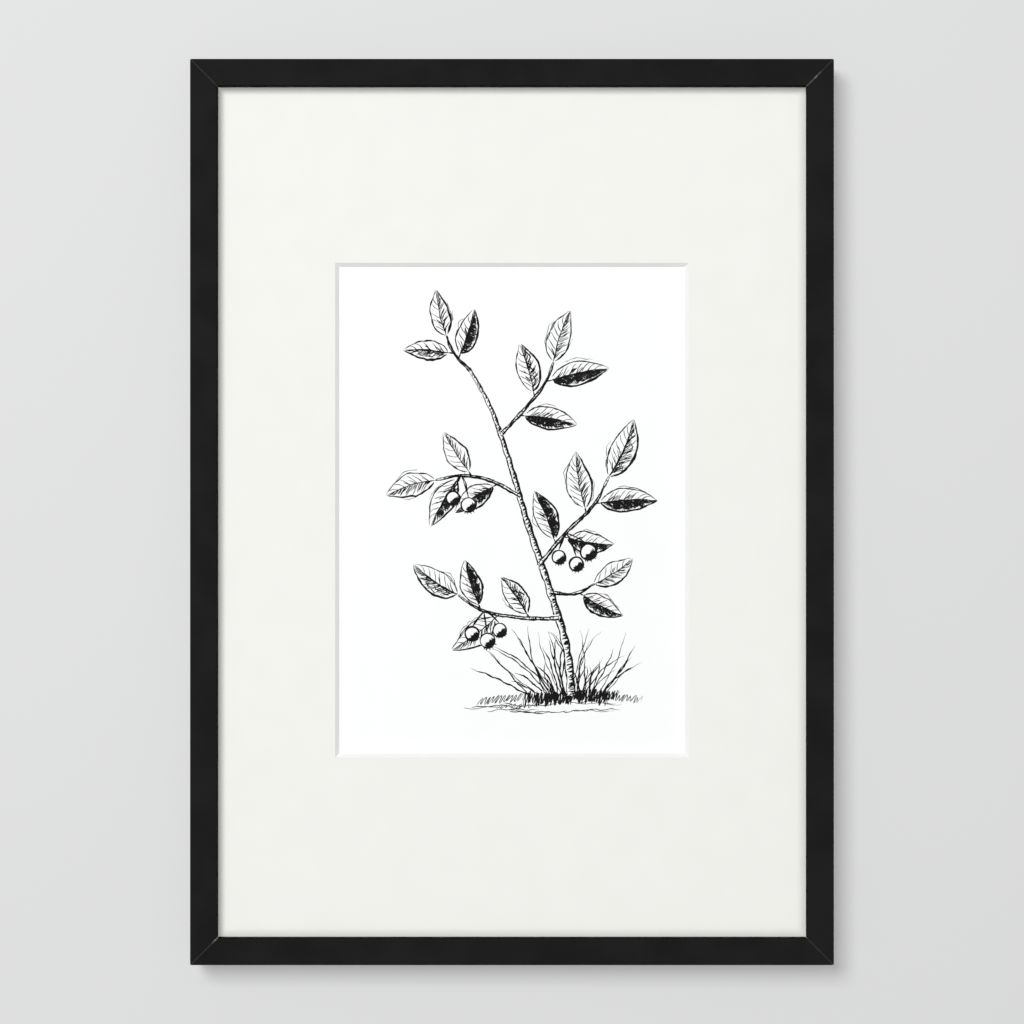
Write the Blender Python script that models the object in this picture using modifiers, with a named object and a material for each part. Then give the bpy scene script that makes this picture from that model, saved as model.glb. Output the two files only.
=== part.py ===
"""A framed and matted print to hang on a wall.

Four mitred wooden rails hold glass, a window mat, a paper print, a mount board and a backing board.
Steel tabs keep the boards in, V-nails pin the mitres, and a sawtooth hanger takes the wall nail.
"""

import math

import bmesh
import bpy
from mathutils import Matrix, Vector

# Axes, in metres: +X to the right, -Y to the front that faces the room, +Z up.
# The origin is where the wall nail enters the wall, in the plane of the frame's back.

# Clearances between pieces
GAP = 0.0003
PAPER_GAP = 0.0001
SHEET_CLEARANCE = 0.0005

# Glass and boards, all cut to one size
GLASS_WIDTH = 0.350
GLASS_HEIGHT = 0.500
GLASS_THICKNESS = 0.0020
MAT_THICKNESS = 0.0022
MOUNT_BOARD_THICKNESS = 0.0015
BACKING_THICKNESS = 0.0030

# Mat window at the mat's front face. The cut slopes inwards at 45 degrees.
WINDOW_WIDTH = 0.203
WINDOW_HEIGHT = 0.284
WINDOW_RISE = 0.0010

# Print, on heavy A4 paper
PRINT_WIDTH = 0.210
PRINT_HEIGHT = 0.297
PRINT_THICKNESS = 0.0004

# Moulding: an L whose lip covers the glass's edge
FACE_WIDTH = 0.0155
LIP_WIDTH = 0.0070
LIP_THICKNESS = 0.0040
RAIL_DEPTH = 0.0220
FRONT_EDGE_RADIUS = 0.0006
BACK_EDGE_RADIUS = 0.0004
ARC_STEPS = 4

# Where the frame's top edge is above the wall nail
TOP_ABOVE_NAIL = 0.032

# Paper tape hinges at the print's top edge
TAPE_THICKNESS = 0.00015
HINGE_STRIP_WIDTH = 0.018
HINGE_ON_PRINT = 0.012
HINGE_ABOVE_PRINT = 0.030
HINGE_CROSS_LENGTH = 0.046
HINGE_CROSS_HEIGHT = 0.018
HINGE_CROSS_ABOVE_PRINT = 0.015
HINGE_SPREAD = 0.065

# V-nails, one in the back of each mitre
NAIL_STRIP = 0.0006
NAIL_LEG = 0.0052
NAIL_HEIGHT = 0.0100
NAIL_SUNK = 0.0002
NAIL_POCKET_GAP = 0.00015
NAIL_APEX_INSET = 0.0016

# Bendable steel tabs over the backing board
TAB_WIDTH = 0.0070
TAB_THICKNESS = 0.0005
TAB_IN_WOOD = 0.0050
TAB_SHOWING = 0.0110
TAB_POINT = 0.0020
TAB_SLOT_GAP = 0.0002
TABS_PER_SHORT_RAIL = 2
TABS_PER_LONG_RAIL = 3

# Sawtooth hanger, riveted to the backing board
HANGER_LENGTH = 0.046
HANGER_HEIGHT = 0.011
HANGER_THICKNESS = 0.0010
HANGER_RISE = 0.0028
HANGER_BRIDGE_HALF = 0.0130
HANGER_FOOT_START = 0.0160
HANGER_END_CLIP = 0.0020
TOOTH_PITCH = 0.0020
TOOTH_DEPTH = 0.0012
TEETH_HALF = 6
WALL_NAIL_RADIUS = 0.0012

# Rivets that hold the hanger
RIVET_RADIUS = 0.0015
RIVET_HOLE_RADIUS = 0.0018
RIVET_HEAD_RADIUS = 0.0032
RIVET_HEAD_HEIGHT = 0.0011
RIVET_TAIL_RADIUS = 0.0031
RIVET_TAIL_THICKNESS = 0.0006
RIVET_RECESS_RADIUS = 0.0035
RIVET_RECESS_DEPTH = 0.0010
RIVET_FROM_CENTRE = 0.0195
RIVET_STEPS = 32

# Sizes worked out from those above
RABBET_WIDTH = GLASS_WIDTH + 2 * SHEET_CLEARANCE
RABBET_HEIGHT = GLASS_HEIGHT + 2 * SHEET_CLEARANCE
LEG_WIDTH = FACE_WIDTH - LIP_WIDTH
OUTER_WIDTH = RABBET_WIDTH + 2 * LEG_WIDTH
OUTER_HEIGHT = RABBET_HEIGHT + 2 * LEG_WIDTH
CENTRE_Z = TOP_ABOVE_NAIL - OUTER_HEIGHT / 2

# The stack in the rabbet, from front to back, as each layer's front face
GLASS_FRONT = -RAIL_DEPTH + LIP_THICKNESS + GAP
MAT_FRONT = GLASS_FRONT + GLASS_THICKNESS + GAP
MAT_BACK = MAT_FRONT + MAT_THICKNESS
PRINT_FRONT = MAT_BACK + PAPER_GAP
PRINT_BACK = PRINT_FRONT + PRINT_THICKNESS
STRIP_FRONT = PRINT_BACK + PAPER_GAP
CROSS_FRONT = STRIP_FRONT - PAPER_GAP - TAPE_THICKNESS
MOUNT_BOARD_FRONT = STRIP_FRONT + TAPE_THICKNESS + PAPER_GAP
BACKING_FRONT = MOUNT_BOARD_FRONT + MOUNT_BOARD_THICKNESS + GAP
BACKING_BACK = BACKING_FRONT + BACKING_THICKNESS
TAB_FRONT = BACKING_BACK + GAP
HANGER_FRONT = BACKING_BACK + GAP

# Turns about Y that carry the right-hand rail to each side of the frame
SIDE_TURNS = {
    "right": 0.0,
    "top": -math.pi / 2,
    "left": math.pi,
    "bottom": math.pi / 2,
}
LIES_IN_FRAME_PLANE = Matrix.Rotation(math.pi / 2, 4, "X")
AXIS_TO_WALL = Matrix.Rotation(-math.pi / 2, 4, "X")


def clear_scene():
    for old in list(bpy.data.objects):
        bpy.data.objects.remove(old)


def new_collection(name):
    made = bpy.data.collections.new(name)
    bpy.context.scene.collection.children.link(made)
    return made


def new_material(name, colour, roughness, metallic=0.0, transmission=0.0):
    made = bpy.data.materials.new(name)
    made.use_nodes = True
    shader = made.node_tree.nodes["Principled BSDF"]
    shader.inputs["Base Color"].default_value = (*colour, 1.0)
    shader.inputs["Roughness"].default_value = roughness
    shader.inputs["Metallic"].default_value = metallic
    shader.inputs["Transmission Weight"].default_value = transmission
    return made


def add_object(name, mesh, material, matrix):
    """A node of the framed print, placed from the frame's centre."""
    made = bpy.data.objects.new(name, mesh)
    parts.objects.link(made)
    made.parent = frame_centre
    made.matrix_basis = matrix
    if material:
        made.data.materials.append(material)
    return made


def make_cutter(obj):
    """Turns an object into a cutter: out of the render, drawn as wire."""
    parts.objects.unlink(obj)
    cutters.objects.link(obj)
    obj.hide_render = True
    obj.display_type = "WIRE"
    return obj


def cut(obj, cutter):
    modifier = obj.modifiers.new("cut " + cutter.name, "BOOLEAN")
    modifier.object = cutter
    modifier.operation = "DIFFERENCE"
    modifier.solver = "EXACT"


def box_mesh(name, size):
    bm = bmesh.new()
    bmesh.ops.create_cube(bm, size=1.0)
    bmesh.ops.scale(bm, vec=size, verts=bm.verts)
    mesh = bpy.data.meshes.new(name)
    bm.to_mesh(mesh)
    bm.free()
    return mesh


def add_box(name, size, centre, material):
    return add_object(name, box_mesh(name, size), material, Matrix.Translation(centre))


def outline_mesh(name, points, thickness):
    """A closed flat outline in local XY, thickened by the same amount each way along local Z."""
    curve = bpy.data.curves.new(name, "CURVE")
    curve.dimensions = "2D"
    curve.fill_mode = "BOTH"
    curve.extrude = thickness / 2
    spline = curve.splines.new("POLY")
    spline.points.add(len(points) - 1)
    for point, (x, y) in zip(spline.points, points):
        point.co = (x, y, 0.0, 1.0)
    spline.use_cyclic_u = True
    holder = bpy.data.objects.new(name, curve)
    bpy.context.scene.collection.objects.link(holder)
    bpy.context.view_layer.update()
    evaluated = holder.evaluated_get(bpy.context.evaluated_depsgraph_get())
    mesh = bpy.data.meshes.new_from_object(evaluated)
    bpy.data.objects.remove(holder)
    bm = bmesh.new()
    bm.from_mesh(mesh)
    bmesh.ops.remove_doubles(bm, verts=bm.verts, dist=1e-6)
    bmesh.ops.recalc_face_normals(bm, faces=bm.faces)
    bm.to_mesh(mesh)
    bm.free()
    return mesh


def arc(centre, radius, start, end, steps):
    """Points on an arc from the start angle to the end angle, in radians, both ends included."""
    angles = [start + (end - start) * i / steps for i in range(steps + 1)]
    return [(centre[0] + radius * math.cos(a), centre[1] + radius * math.sin(a)) for a in angles]


def moulding_outline(outer):
    """The L-shaped section, with x outwards from the frame's centre and y from front to back.

    The outer side is at x = outer. The edges that a hand meets are rounded, the rabbet's are sharp.
    """
    inner = outer - FACE_WIDTH
    rabbet_wall = outer - LEG_WIDTH
    front = -RAIL_DEPTH
    lip_back = front + LIP_THICKNESS
    r, b = FRONT_EDGE_RADIUS, BACK_EDGE_RADIUS
    quarter = math.pi / 2
    points = arc((inner + r, front + r), r, 2 * quarter, 3 * quarter, ARC_STEPS)
    points += arc((outer - r, front + r), r, 3 * quarter, 4 * quarter, ARC_STEPS)
    points += arc((outer - b, -b), b, 0.0, quarter, ARC_STEPS)
    points += arc((rabbet_wall + b, -b), b, quarter, 2 * quarter, ARC_STEPS)
    points += [(rabbet_wall, lip_back), (inner, lip_back)]
    return points


def mitre(mesh, outer, half_length):
    """Saws both ends of a vertical rail at 45 degrees and leaves half of GAP at each mitre."""
    bm = bmesh.new()
    bm.from_mesh(mesh)
    for end in (1, -1):
        normal = Vector((-1.0, 0.0, end)).normalized()
        corner = Vector((outer, 0.0, end * half_length))
        bmesh.ops.bisect_plane(
            bm,
            geom=bm.verts[:] + bm.edges[:] + bm.faces[:],
            plane_co=corner - normal * (GAP / 2),
            plane_no=normal,
            clear_outer=True,
        )
        open_edges = [edge for edge in bm.edges if edge.is_boundary]
        bmesh.ops.holes_fill(bm, edges=open_edges)
    bmesh.ops.recalc_face_normals(bm, faces=bm.faces)
    bm.to_mesh(mesh)
    bm.free()


def add_rail(side, length, outer):
    """One rail, drawn as the right-hand one and turned to its side of the frame."""
    mesh = outline_mesh("rail_" + side, moulding_outline(outer), length)
    mitre(mesh, outer, length / 2)
    mesh.shade_smooth()
    mesh.set_sharp_from_angle(angle=math.radians(35))
    turn = Matrix.Rotation(SIDE_TURNS[side], 4, "Y")
    return add_object("rail_" + side, mesh, black_paint, turn)


def nail_outline(spare):
    """A V-nail seen from the back, its two legs along +x and +y, drawn larger by spare all round."""
    low = -LEG_WIDTH + NAIL_APEX_INSET - spare
    far = low + NAIL_LEG + 2 * spare
    inside = low + NAIL_STRIP + 2 * spare
    return [(low, low), (far, low), (far, inside), (inside, inside), (inside, far), (low, far)]


def add_v_nail(corner_name, side, sign_x, sign_z):
    """A V-nail in one mitre's back, and the cutter that makes its pocket in both rails."""
    corner = Vector((sign_x * OUTER_WIDTH / 2, 0.0, sign_z * OUTER_HEIGHT / 2))
    turn = Matrix.Rotation(SIDE_TURNS[side], 4, "Y") @ LIES_IN_FRAME_PLANE
    middle = corner + Vector((0.0, -NAIL_SUNK - NAIL_HEIGHT / 2, 0.0))
    name = "v_nail_" + corner_name
    mesh = outline_mesh(name, nail_outline(0.0), NAIL_HEIGHT)
    add_object(name, mesh, bright_steel, Matrix.Translation(middle) @ turn)
    pocket_depth = 2 * (NAIL_HEIGHT + NAIL_SUNK + NAIL_POCKET_GAP)
    pocket = outline_mesh("pocket_" + corner_name, nail_outline(NAIL_POCKET_GAP), pocket_depth)
    return make_cutter(
        add_object("pocket_" + corner_name, pocket, None, Matrix.Translation(corner) @ turn)
    )


def tab_outline():
    """A steel tab: a point that is driven into the wood at -x, and a round end at +x."""
    half = TAB_WIDTH / 2
    points = [(-TAB_IN_WOOD, 0.0), (-TAB_IN_WOOD + TAB_POINT, -half)]
    points += arc((TAB_SHOWING - half, 0.0), half, -math.pi / 2, math.pi / 2, 3 * ARC_STEPS)
    points += [(-TAB_IN_WOOD + TAB_POINT, half)]
    return points


def add_tabs(side, rail, length, outer, count):
    """The tabs along one rail, evenly spaced, and their slots in the rabbet wall."""
    turn = Matrix.Rotation(SIDE_TURNS[side], 4, "Y")
    wall = outer - LEG_WIDTH
    depth = TAB_FRONT + TAB_THICKNESS / 2
    slot_size = (
        2 * (TAB_IN_WOOD + TAB_SLOT_GAP),
        TAB_THICKNESS + 2 * TAB_SLOT_GAP,
        TAB_WIDTH + 2 * TAB_SLOT_GAP,
    )
    for number in range(count):
        along = length * ((number + 0.5) / count - 0.5)
        place = turn @ Matrix.Translation((wall, depth, along))
        name = f"tab_{side}_{number + 1}"
        inwards = Matrix.Rotation(math.pi, 4, "Y") @ LIES_IN_FRAME_PLANE
        mesh = outline_mesh(name, tab_outline(), TAB_THICKNESS)
        add_object(name, mesh, bright_steel, place @ inwards)
        slot = add_object("slot_" + name, box_mesh("slot_" + name, slot_size), None, place)
        cut(rail, make_cutter(slot))


def add_window_mat():
    """The mat, whose window is cut by a block that narrows towards the back at 45 degrees."""
    centre_y = MAT_FRONT + MAT_THICKNESS / 2
    sheet_size = (GLASS_WIDTH, MAT_THICKNESS, GLASS_HEIGHT)
    mat = add_box("window_mat", sheet_size, (0.0, centre_y, 0.0), mat_card)
    overrun = MAT_THICKNESS / 2
    depth = MAT_THICKNESS + 2 * overrun
    front_end = Vector((WINDOW_WIDTH + 2 * overrun, 0.0, WINDOW_HEIGHT + 2 * overrun))
    back_end = Vector((front_end.x - 2 * depth, 0.0, front_end.z - 2 * depth))
    mesh = box_mesh("window_cutter", (1.0, depth, 1.0))
    for vertex in mesh.vertices:
        end = front_end if vertex.co.y < 0 else back_end
        vertex.co.x *= end.x
        vertex.co.z *= end.z
    place = Matrix.Translation((0.0, centre_y, WINDOW_RISE))
    cut(mat, make_cutter(add_object("window_cutter", mesh, None, place)))


def add_hinges():
    """Two T-hinges: an upright strip under the print's top edge and a cross strip over it."""
    print_top = WINDOW_RISE + PRINT_HEIGHT / 2
    strip_height = HINGE_ON_PRINT + HINGE_ABOVE_PRINT
    strip_centre_z = print_top + (HINGE_ABOVE_PRINT - HINGE_ON_PRINT) / 2
    for name, x in (("left", -HINGE_SPREAD), ("right", HINGE_SPREAD)):
        add_box(
            "hinge_strip_" + name,
            (HINGE_STRIP_WIDTH, TAPE_THICKNESS, strip_height),
            (x, STRIP_FRONT + TAPE_THICKNESS / 2, strip_centre_z),
            paper_tape,
        )
        add_box(
            "hinge_cross_" + name,
            (HINGE_CROSS_LENGTH, TAPE_THICKNESS, HINGE_CROSS_HEIGHT),
            (x, CROSS_FRONT + TAPE_THICKNESS / 2, print_top + HINGE_CROSS_ABOVE_PRINT),
            paper_tape,
        )


def hanger_column(index):
    """x, lower edge and lift of one column of the hanger's strip, counted out from its middle.

    The bridge has a column for each notch and each tooth's tip, then it steps down to a flat foot.
    """
    side = -1 if index < 0 else 1
    count = abs(index)
    foot_end = HANGER_LENGTH / 2
    bottom = -HANGER_HEIGHT / 2
    if count <= 2 * TEETH_HALF:
        notch = TOOTH_DEPTH if count % 2 == 0 else 0.0
        return side * count * TOOTH_PITCH / 2, bottom + notch, HANGER_RISE
    outside = [
        (HANGER_BRIDGE_HALF, bottom, HANGER_RISE),
        (HANGER_FOOT_START, bottom, 0.0),
        (foot_end - HANGER_END_CLIP, bottom, 0.0),
        (foot_end, bottom + HANGER_END_CLIP, 0.0),
    ]
    x, lower, lift = outside[count - 2 * TEETH_HALF - 1]
    return side * x, lower, lift


def add_hanger():
    """The sawtooth hanger: a strip that bridges the nail's head, with teeth on its lower edge."""
    columns = 2 * TEETH_HALF + 4
    bm = bmesh.new()
    bmesh.ops.create_grid(bm, x_segments=2 * columns, y_segments=1, size=1.0)
    for vertex in bm.verts:
        index = round(vertex.co.x * columns)
        x, lower, lift = hanger_column(index)
        clipped = abs(index) == columns
        upper = HANGER_HEIGHT / 2 - (HANGER_END_CLIP if clipped else 0.0)
        vertex.co = (x, lower if vertex.co.y < 0 else upper, -lift)
    mesh = bpy.data.meshes.new("sawtooth_hanger")
    bm.to_mesh(mesh)
    bm.free()
    nail_top = WALL_NAIL_RADIUS
    centre_z = nail_top + HANGER_HEIGHT / 2 - TOOTH_DEPTH - CENTRE_Z
    place = Matrix.Translation((0.0, HANGER_FRONT, centre_z)) @ LIES_IN_FRAME_PLANE
    hanger = add_object("sawtooth_hanger", mesh, zinc_plate, place)
    solidify = hanger.modifiers.new("thickness", "SOLIDIFY")
    solidify.thickness = HANGER_THICKNESS
    solidify.offset = -1.0
    return hanger, centre_z


def add_cylinder_cutter(name, radius, length, centre):
    bm = bmesh.new()
    bmesh.ops.create_cone(
        bm, cap_ends=True, segments=RIVET_STEPS, radius1=radius, radius2=radius, depth=length
    )
    mesh = bpy.data.meshes.new(name)
    bm.to_mesh(mesh)
    bm.free()
    place = Matrix.Translation(centre) @ AXIS_TO_WALL
    return make_cutter(add_object(name, mesh, None, place))


def rivet_profile():
    """Half of the rivet's section, from the top of its domed head down to its flat tail.

    x is the radius and z points to the wall, with z = 0 at the backing board's front face.
    """
    head_base = HANGER_FRONT + HANGER_THICKNESS + GAP - BACKING_FRONT
    tail_top = RIVET_TAIL_THICKNESS + PAPER_GAP
    dome = [
        (RIVET_HEAD_RADIUS * math.sin(a), head_base + RIVET_HEAD_HEIGHT * math.cos(a))
        for a in (math.pi / 2 * i / (2 * ARC_STEPS) for i in range(2 * ARC_STEPS + 1))
    ]
    shank = [(RIVET_RADIUS, head_base), (RIVET_RADIUS, tail_top)]
    tail = [(RIVET_TAIL_RADIUS, tail_top), (RIVET_TAIL_RADIUS, PAPER_GAP), (0.0, PAPER_GAP)]
    return dome + shank + tail


def add_rivet(name, x, z):
    profile = rivet_profile()
    mesh = bpy.data.meshes.new(name)
    edges = [(i, i + 1) for i in range(len(profile) - 1)]
    mesh.from_pydata([(r, 0.0, h) for r, h in profile], edges, [])
    place = Matrix.Translation((x, BACKING_FRONT, z)) @ AXIS_TO_WALL
    rivet = add_object(name, mesh, bright_steel, place)
    screw = rivet.modifiers.new("turned", "SCREW")
    screw.axis = "Z"
    screw.steps = RIVET_STEPS
    screw.render_steps = RIVET_STEPS
    screw.use_merge_vertices = True
    screw.merge_threshold = 0.00001
    screw.use_smooth_shade = False


clear_scene()
parts = new_collection("framed_print")
cutters = new_collection("cutters")

black_paint = new_material("satin black paint", (0.016, 0.016, 0.016), 0.45)
clear_glass = new_material("clear glass", (1.0, 1.0, 1.0), 0.02, transmission=1.0)
mat_card = new_material("off-white mat card", (0.86, 0.865, 0.82), 0.9)
print_paper = new_material("white print paper", (0.95, 0.95, 0.95), 0.85)
mount_card = new_material("white mount card", (0.88, 0.87, 0.83), 0.9)
paper_tape = new_material("paper tape", (0.90, 0.88, 0.82), 0.85)
hardboard = new_material("brown hardboard", (0.24, 0.13, 0.06), 0.7)
bright_steel = new_material("bright steel", (0.56, 0.56, 0.57), 0.35, metallic=1.0)
zinc_plate = new_material("zinc-plated steel", (0.62, 0.62, 0.60), 0.4, metallic=1.0)

frame_centre = bpy.data.objects.new("frame_centre", None)
frame_centre.location = (0.0, 0.0, CENTRE_Z)
parts.objects.link(frame_centre)

# The four rails and the V-nails in their mitres
rails = {
    "right": add_rail("right", OUTER_HEIGHT, OUTER_WIDTH / 2),
    "top": add_rail("top", OUTER_WIDTH, OUTER_HEIGHT / 2),
    "left": add_rail("left", OUTER_HEIGHT, OUTER_WIDTH / 2),
    "bottom": add_rail("bottom", OUTER_WIDTH, OUTER_HEIGHT / 2),
}
corners = [
    ("top_right", "right", 1, 1, ("top", "right")),
    ("top_left", "top", -1, 1, ("top", "left")),
    ("bottom_left", "left", -1, -1, ("bottom", "left")),
    ("bottom_right", "bottom", 1, -1, ("bottom", "right")),
]
for corner_name, turned_as, sign_x, sign_z, joined in corners:
    pocket_cutter = add_v_nail(corner_name, turned_as, sign_x, sign_z)
    for joined_side in joined:
        cut(rails[joined_side], pocket_cutter)

# The stack in the rabbet
add_box(
    "glazing",
    (GLASS_WIDTH, GLASS_THICKNESS, GLASS_HEIGHT),
    (0.0, GLASS_FRONT + GLASS_THICKNESS / 2, 0.0),
    clear_glass,
)
add_window_mat()
add_box(
    "print_sheet",
    (PRINT_WIDTH, PRINT_THICKNESS, PRINT_HEIGHT),
    (0.0, PRINT_FRONT + PRINT_THICKNESS / 2, WINDOW_RISE),
    print_paper,
)
add_hinges()
add_box(
    "mount_board",
    (GLASS_WIDTH, MOUNT_BOARD_THICKNESS, GLASS_HEIGHT),
    (0.0, MOUNT_BOARD_FRONT + MOUNT_BOARD_THICKNESS / 2, 0.0),
    mount_card,
)
backing = add_box(
    "backing_board",
    (GLASS_WIDTH, BACKING_THICKNESS, GLASS_HEIGHT),
    (0.0, BACKING_FRONT + BACKING_THICKNESS / 2, 0.0),
    hardboard,
)

# What holds the boards in
for side in ("top", "bottom"):
    add_tabs(side, rails[side], RABBET_WIDTH, OUTER_HEIGHT / 2, TABS_PER_SHORT_RAIL)
for side in ("left", "right"):
    add_tabs(side, rails[side], RABBET_HEIGHT, OUTER_WIDTH / 2, TABS_PER_LONG_RAIL)

# What the frame hangs by
sawtooth_hanger, hanger_z = add_hanger()
for side_name, direction in (("left", -1), ("right", 1)):
    rivet_x = direction * RIVET_FROM_CENTRE
    hole_centre = (rivet_x, BACKING_BACK, hanger_z)
    hole_length = 4 * BACKING_THICKNESS
    hole = add_cylinder_cutter("hole_" + side_name, RIVET_HOLE_RADIUS, hole_length, hole_centre)
    cut(sawtooth_hanger, hole)
    cut(backing, hole)
    recess_centre = (rivet_x, BACKING_FRONT, hanger_z)
    recess_length = 2 * RIVET_RECESS_DEPTH
    recess = add_cylinder_cutter(
        "recess_" + side_name, RIVET_RECESS_RADIUS, recess_length, recess_centre
    )
    cut(backing, recess)
    add_rivet("hanger_rivet_" + side_name, rivet_x, hanger_z)
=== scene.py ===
import math
import random

import bpy
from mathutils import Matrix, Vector


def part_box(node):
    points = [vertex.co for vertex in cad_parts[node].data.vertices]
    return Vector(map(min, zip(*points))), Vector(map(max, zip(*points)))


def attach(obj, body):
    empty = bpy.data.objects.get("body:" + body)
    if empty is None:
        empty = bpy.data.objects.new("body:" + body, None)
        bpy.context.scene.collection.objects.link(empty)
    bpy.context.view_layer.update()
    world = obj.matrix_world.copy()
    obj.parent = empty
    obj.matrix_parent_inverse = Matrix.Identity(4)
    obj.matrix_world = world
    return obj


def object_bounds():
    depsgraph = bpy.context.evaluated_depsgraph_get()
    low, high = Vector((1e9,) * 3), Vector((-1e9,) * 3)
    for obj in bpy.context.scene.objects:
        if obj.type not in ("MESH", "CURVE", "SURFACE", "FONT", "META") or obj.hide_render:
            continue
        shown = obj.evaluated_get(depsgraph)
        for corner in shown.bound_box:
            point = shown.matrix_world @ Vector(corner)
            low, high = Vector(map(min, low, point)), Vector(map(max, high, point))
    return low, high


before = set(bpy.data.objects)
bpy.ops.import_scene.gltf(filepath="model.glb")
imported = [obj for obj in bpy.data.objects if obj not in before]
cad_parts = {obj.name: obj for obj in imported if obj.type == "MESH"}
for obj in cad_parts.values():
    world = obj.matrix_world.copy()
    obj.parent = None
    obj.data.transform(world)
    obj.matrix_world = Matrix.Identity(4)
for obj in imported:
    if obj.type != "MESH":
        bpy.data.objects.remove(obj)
cad_low, cad_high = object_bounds()
bpy.ops.object.select_all(action="DESELECT")


# The four rails of the frame: wooden mouldings with an L section, cut at 45 degrees and glued. They are
# sprayed satin black on the front and the sides, and left bare on the back and in the rabbet.
FRAME_HALF_WIDTH = (cad_high.x - cad_low.x) / 2
FRAME_HALF_HEIGHT = (cad_high.z - cad_low.z) / 2
FRAME_MIDDLE_Z = (cad_high.z + cad_low.z) / 2
FRONT_Y = cad_low.y
FACE_WIDTH = 0.0155
LEG_WIDTH = 0.0085
LIP_BACK_Y = -0.018

PAINT_BLACK = (0.0088, 0.0088, 0.0089, 1)
PAINT_GREYER = (0.0118, 0.0118, 0.0119, 1)
PAINT_RUBBED = (0.018, 0.018, 0.018, 1)
# Darker black as painted shade on the lip's inner side
PAINT_INNER_SIDE_SHADE = (0.0040, 0.0040, 0.0040, 1)
MITRE_GREY = (0.030, 0.030, 0.030, 1)
# Pale colour of the painted highlight along two mitres
MITRE_PAINTED_GLINT = (0.42, 0.41, 0.39, 1)
WOOD_LIGHT = (0.56, 0.41, 0.26, 1)
WOOD_DARK = (0.36, 0.23, 0.13, 1)
PAINT_GLOSS = 0.32
PAINT_RELIEF = 0.00004
INNER_SIDE_ROUGHNESS = 0.95

# How many blotches of each pattern there are in a metre. Grain is drawn out along its rail.
GRAIN_SCALE = 26.0
GRAIN_DRAWN_OUT = 30.0
PORE_SCALE = 90.0
MOTTLE_SCALE = 38.0
RAGGED_SCALE = 520.0
ORANGE_PEEL_SCALE = 1500.0

# Where marks in the paint start and where they are full, in metres in from the rail's outer edge
OUTER_RUB = (0.0005, 0.0001)
INNER_SIDE = (FACE_WIDTH - 0.0003, FACE_WIDTH - 0.0001)
GLINT_FAINT_START = (0.0066, 0.0078)
GLINT_START = (0.0088, 0.0100)
GLINT_END = (0.0114, 0.0104)
LOW_GLINT_START = (0.0118, 0.0147)
RABBET_START = (LEG_WIDTH - 0.0003, LEG_WIDTH - 0.0001)
RABBET_END = (FACE_WIDTH - 0.0002, FACE_WIDTH - 0.0005)
SPRAY_END = (0.0008, 0.0022)
SPRAY_WANDER = 0.0010
# The same away from the mitre
MITRE_LINE = (0.00065, 0.00030)
MITRE_GLINT_WIDTH = (0.00056, 0.00032)
MITRE_WANDER = 0.0003
GLINT_FAINT_SHARE = 0.32
# The same in depth
FRONT_FACE = (FRONT_Y + 0.0010, FRONT_Y + 0.0003)
BACK_FACE = (-0.0005, -0.0002)
BEHIND_LIP = (LIP_BACK_Y - 0.0006, LIP_BACK_Y - 0.0002)

# Sockets of a Mix node that blends colours
COLOUR_A = 6
COLOUR_B = 7
COLOUR_RESULT = 2


def add_node(tree, kind, inputs=None, **settings):
    """A node with its settings. Each input is a value or another node's output."""
    made = tree.nodes.new(kind)
    for name, value in settings.items():
        setattr(made, name, value)
    for socket, value in (inputs or {}).items():
        if isinstance(value, bpy.types.NodeSocket):
            tree.links.new(value, made.inputs[socket])
        else:
            made.inputs[socket].default_value = value
    return made


def work_out(tree, operation, first, second=0.0):
    """One sum on two values that change over the surface."""
    return add_node(tree, "ShaderNodeMath", {0: first, 1: second}, operation=operation).outputs[0]


def product(tree, first, *others):
    """Several shares of 0 to 1 multiplied."""
    for other in others:
        first = work_out(tree, "MULTIPLY", first, other)
    return first


def soft_step(tree, value, start, end):
    """0 before start and 1 past end. With start above end it runs the other way."""
    span = {"Value": value, "From Min": start, "From Max": end}
    return add_node(tree, "ShaderNodeMapRange", span, interpolation_type="SMOOTHSTEP").outputs["Result"]


def spread(tree, value, low, high):
    """A value of 0 to 1 spread over another range."""
    span = {"Value": value, "To Min": low, "To Max": high}
    return add_node(tree, "ShaderNodeMapRange", span).outputs["Result"]


def speckle(tree, place, scale, detail=2.0, roughness=0.5):
    """Noise of 0 to 1. The scale is in blotches per metre."""
    inputs = {"Vector": place, "Scale": scale, "Detail": detail, "Roughness": roughness}
    return add_node(tree, "ShaderNodeTexNoise", inputs).outputs["Fac"]


def blend_colours(tree, share, first, second):
    """The first colour where the share is 0 and the second where it is 1."""
    inputs = {0: share, COLOUR_A: first, COLOUR_B: second}
    return add_node(tree, "ShaderNodeMix", inputs, data_type="RGBA").outputs[COLOUR_RESULT]


def blend_values(tree, share, first, second):
    """The same for plain values."""
    return add_node(tree, "ShaderNodeMix", {0: share, 2: first, 3: second}).outputs[0]


def new_finish(name):
    """A material, its node tree, its shader and where on the frame each point lies."""
    finish = bpy.data.materials.new(name)
    finish.use_nodes = True
    tree = finish.node_tree
    shader = tree.nodes["Principled BSDF"]
    place = add_node(tree, "ShaderNodeTexCoord").outputs["Object"]
    return finish, tree, shader, place


def set_relief(tree, shader, height, depth):
    """A low relief in the surface, its depth in metres."""
    relief = add_node(tree, "ShaderNodeBump", {"Height": height, "Strength": 1.0, "Distance": depth})
    tree.links.new(relief.outputs["Normal"], shader.inputs["Normal"])


def dress(node_names, finish):
    """Gives CAD nodes their finish."""
    for name in node_names:
        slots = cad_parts[name].data.materials
        slots.clear()
        slots.append(finish)


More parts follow.
